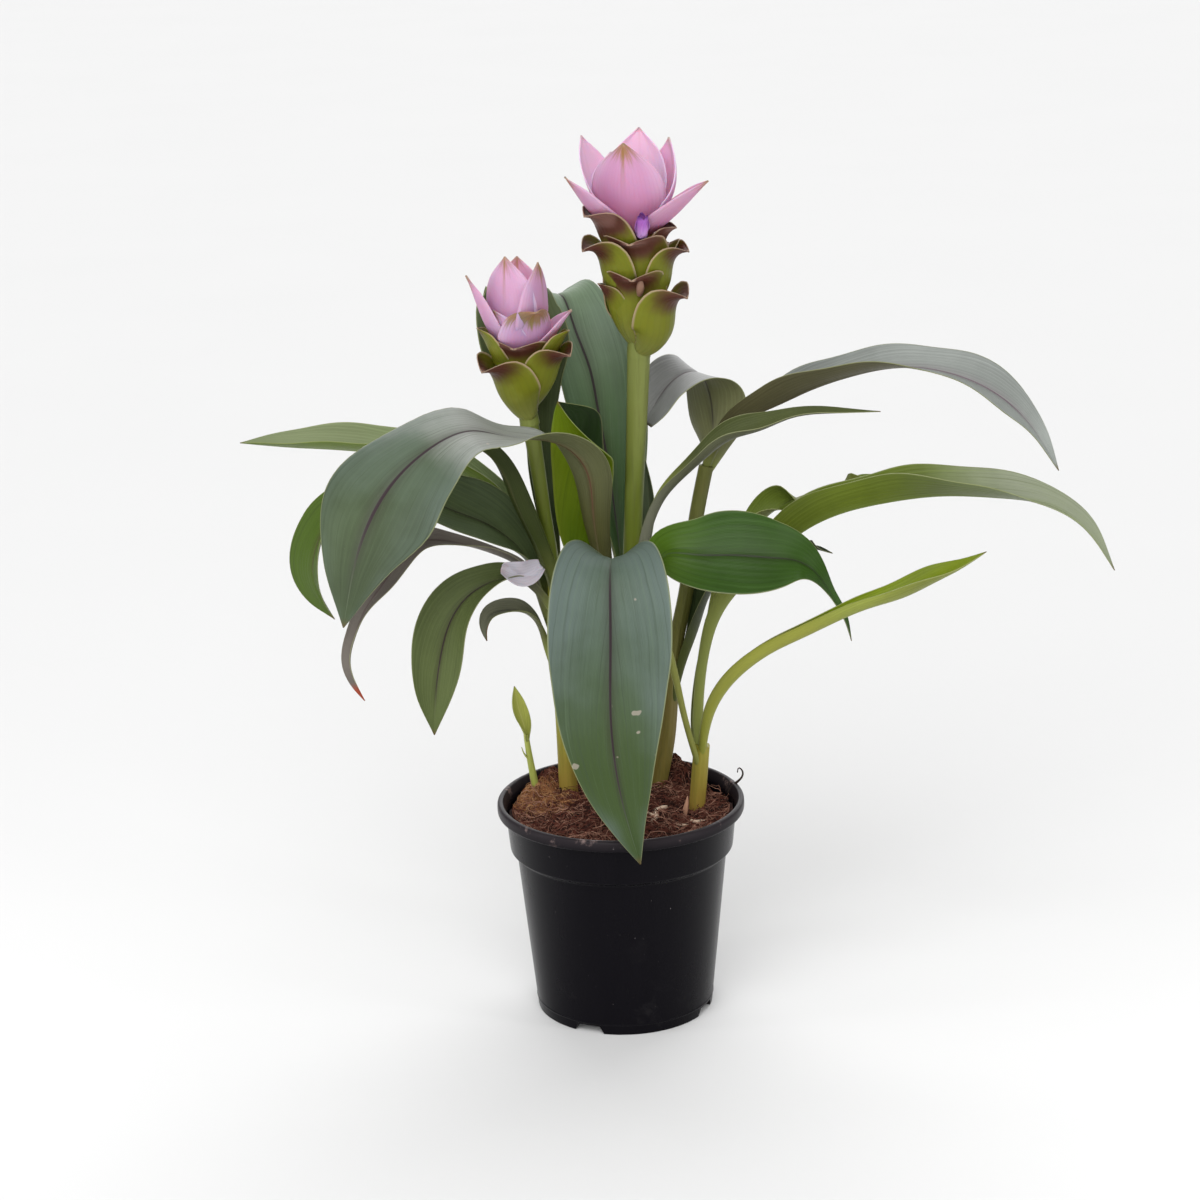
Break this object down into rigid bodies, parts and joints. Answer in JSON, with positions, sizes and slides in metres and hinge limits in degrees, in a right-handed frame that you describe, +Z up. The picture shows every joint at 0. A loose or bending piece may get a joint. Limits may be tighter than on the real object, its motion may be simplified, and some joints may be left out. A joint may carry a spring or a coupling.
{
  "type": "potted siam tulip",
  "caption": "A potted siam tulip: arching pleated leaves and two pink flower heads with green pouch bracts, rooted in coir in a black nursery pot",
  "frame": {"origin": "centre of the flat pad under the pot, in the plane of the foot ring that it stands on", "axes": "+Z up along the pot's axis, -Y to the viewer of the picture, +X to the viewer's right"},
  "size_m": [0.5195, 0.2393, 0.5332],
  "materials": {
    "black_pot_plastic": "thin moulded plastic, softly glossy, with dust and pale dirt at the rim",
    "red_brown_coir": "loose coconut fibre, dry and matt",
    "stem_yellow_green": "fresh stem of rolled leaf sheaths, satin",
    "leaf_green": "waxy pleated leaf with fine veins and a purple midrib",
    "bract_green": "waxy bract with a brown curled rim",
    "bract_pink": "soft thin bract with fine veins, a little see-through",
    "flower_violet": "soft thin petals with dark tips",
    "petal_pale_lilac": "thin dry petal",
    "root_pale": "smooth pale root"
  },
  "bodies": {
    "root": {"pot": "black_pot_plastic", "soil": "red_brown_coir", "pseudostem_left": "stem_yellow_green", "pseudostem_centre": "stem_yellow_green", "pseudostem_centre_right": "stem_yellow_green", "pseudostem_right": "stem_yellow_green", "flower_stalk_tall": "stem_yellow_green", "flower_stalk_short": "stem_yellow_green", "sprout": "stem_yellow_green", "leaf_front": "leaf_green", "leaf_left_large": "leaf_green", "leaf_left_pale": "leaf_green", "leaf_left_strap": "leaf_green", "leaf_left_dark": "leaf_green", "leaf_left_twisted": "leaf_green", "leaf_left_hanging": "leaf_green", "leaf_left_small": "leaf_green", "leaf_behind_short_stalk": "leaf_green", "leaf_boat": "leaf_green", "leaf_behind_tall_stalk": "leaf_green", "leaf_narrow_back": "leaf_green", "leaf_right_thin": "leaf_green", "leaf_right_folded": "leaf_green", "leaf_right_arching": "leaf_green", "leaf_right_channelled": "leaf_green", "leaf_right_short": "leaf_green", "leaf_right_rolled": "leaf_green", "leaf_front_right": "leaf_green", "leaf_right_dark": "leaf_green", "tall_head_green_bracts": "bract_green", "short_head_green_bracts": "bract_green", "tall_head_pink_bracts": "bract_pink", "short_head_pink_bracts": "bract_pink", "true_flower": "flower_violet", "fallen_petal": "petal_pale_lilac", "surface_root": "root_pale"}
  },
  "joints": []
}
